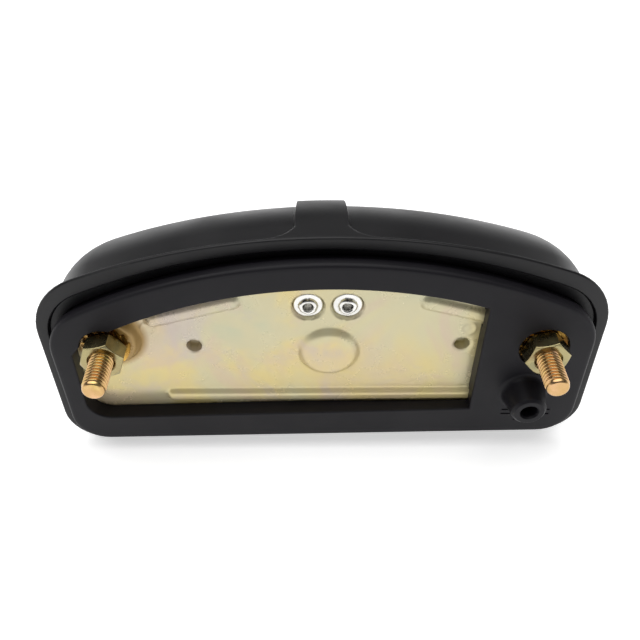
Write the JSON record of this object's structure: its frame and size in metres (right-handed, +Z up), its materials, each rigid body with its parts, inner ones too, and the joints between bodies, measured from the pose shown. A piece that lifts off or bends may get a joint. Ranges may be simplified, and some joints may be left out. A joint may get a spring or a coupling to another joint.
{
  "type": "motorcycle tail light",
  "caption": "Wide arched tail light with a black moulded housing, red lens, rubber mounting gasket, zinc base plate, threaded studs with nuts and two bayonet bulbs inside.",
  "frame": {"origin": "on the mounting face (the rear face of the rubber gasket), midway between the two studs", "axes": "+Y out of the mounting face along the studs, -Y towards the lens; +Z up as mounted; X across"},
  "size_m": [0.1443, 0.0566, 0.0697],
  "materials": {
    "gasket_rubber": "moulded black rubber with a fine satin skin",
    "black_plastic": "satin black moulded plastic",
    "base_zinc": "yellow zinc plating, pale straw with pink and violet clouds",
    "stud_zinc": "yellow zinc plating",
    "nut_zinc": "yellow zinc plating, slightly green",
    "washer_zinc": "deep yellow zinc plating",
    "rivet_aluminium": "bright rolled aluminium",
    "bracket_zinc": "zinc plating",
    "pillar_steel": "bright zinc plating",
    "screw_steel": "bright zinc plating",
    "seal_rubber": "soft black rubber",
    "red_lens": "transparent red, glossy outside, fluted inside",
    "clear_window": "clear, slightly frosted",
    "socket_metal": "zinc plating",
    "contact_phenolic": "brown phenolic board with a solder tag",
    "spring_steel": "bright spring wire",
    "cap_brass": "nickelled brass",
    "bulb_glass": "clear blown glass",
    "filament_tungsten": "dull tungsten and nickel wire"
  },
  "bodies": {
    "lamp": {"mounting_gasket": "gasket_rubber", "housing": "black_plastic", "base_plate": "base_zinc", "lens_seal": "seal_rubber", "number_plate_window": "clear_window", "bulb_bracket": "bracket_zinc", "left_stud": "stud_zinc", "right_stud": "stud_zinc", "left_bracket_rivet": "rivet_aluminium", "right_bracket_rivet": "rivet_aluminium", "left_lens_pillar": "pillar_steel", "right_lens_pillar": "pillar_steel", "tail_bulb_socket": "socket_metal", "brake_bulb_socket": "socket_metal", "tail_contact_spring": "spring_steel", "brake_contact_spring": "spring_steel"},
    "lens": {"lens": "red_lens"},
    "left_washer": {"left_star_washer": "washer_zinc"},
    "left_nut": {"left_nut": "nut_zinc"},
    "left_screw_seal": {"left_screw_seal": "seal_rubber"},
    "left_screw": {"left_lens_screw": "screw_steel"},
    "right_washer": {"right_star_washer": "washer_zinc"},
    "right_nut": {"right_nut": "nut_zinc"},
    "right_screw_seal": {"right_screw_seal": "seal_rubber"},
    "right_screw": {"right_lens_screw": "screw_steel"},
    "tail_contact": {"tail_contact_plunger": "contact_phenolic"},
    "tail_bulb": {"tail_bulb_cap": "cap_brass", "tail_bulb_glass": "bulb_glass", "tail_bulb_filament": "filament_tungsten"},
    "brake_contact": {"brake_contact_plunger": "contact_phenolic"},
    "brake_bulb": {"brake_bulb_cap": "cap_brass", "brake_bulb_glass": "bulb_glass", "brake_bulb_filament": "filament_tungsten"}
  },
  "joints": [
    {"name": "lens_removal", "type": "slide", "parent": "lamp", "child": "lens", "axis": [0, -1, 0], "range_m": [0, 0.035]},
    {"name": "left_nut_travel", "type": "slide", "parent": "lamp", "child": "left_washer", "axis": [0, 1, 0], "range_m": [0, 0.0147]},
    {"name": "left_nut_turn", "type": "hinge", "parent": "left_washer", "child": "left_nut", "pos_m": [0.055, 0, 0], "axis": [0, 1, 0], "range_deg": [0, 5293]},
    {"name": "left_screw_travel", "type": "slide", "parent": "lens", "child": "left_screw_seal", "axis": [0, -1, 0], "range_m": [0, 0.0091]},
    {"name": "left_screw_turn", "type": "hinge", "parent": "left_screw_seal", "child": "left_screw", "pos_m": [0.042, 0, -0.0155], "axis": [0, -1, 0], "range_deg": [0, 4681]},
    {"name": "right_nut_travel", "type": "slide", "parent": "lamp", "child": "right_washer", "axis": [0, 1, 0], "range_m": [0, 0.0147]},
    {"name": "right_nut_turn", "type": "hinge", "parent": "right_washer", "child": "right_nut", "pos_m": [-0.055, 0, 0], "axis": [0, 1, 0], "range_deg": [0, 5293]},
    {"name": "right_screw_travel", "type": "slide", "parent": "lens", "child": "right_screw_seal", "axis": [0, -1, 0], "range_m": [0, 0.0091]},
    {"name": "right_screw_turn", "type": "hinge", "parent": "right_screw_seal", "child": "right_screw", "pos_m": [-0.042, 0, -0.0155], "axis": [0, -1, 0], "range_deg": [0, 4681]},
    {"name": "tail_bulb_push", "type": "slide", "parent": "lamp", "child": "tail_contact", "axis": [-1, 0, 0], "range_m": [0, 0.002], "stiffness_N_per_m": 1200, "springref_m": -0.003, "deforming": ["tail_contact_spring"]},
    {"name": "tail_bulb_twist", "type": "hinge", "parent": "tail_contact", "child": "tail_bulb", "pos_m": [0, -0.0245, 0.0015], "axis": [1, 0, 0], "range_deg": [0, 27]},
    {"name": "brake_bulb_push", "type": "slide", "parent": "lamp", "child": "brake_contact", "axis": [1, 0, 0], "range_m": [0, 0.002], "stiffness_N_per_m": 1200, "springref_m": -0.003, "deforming": ["brake_contact_spring"]},
    {"name": "brake_bulb_twist", "type": "hinge", "parent": "brake_contact", "child": "brake_bulb", "pos_m": [0, -0.0245, 0.0015], "axis": [-1, 0, 0], "range_deg": [0, 27]}
  ],
  "couplings": [
    {"joint": "left_nut_turn", "follows": "left_nut_travel", "rad_per_m": 6283.2},
    {"joint": "left_screw_turn", "follows": "left_screw_travel", "rad_per_m": 8976},
    {"joint": "right_nut_turn", "follows": "right_nut_travel", "rad_per_m": 6283.2},
    {"joint": "right_screw_turn", "follows": "right_screw_travel", "rad_per_m": 8976}
  ]
}
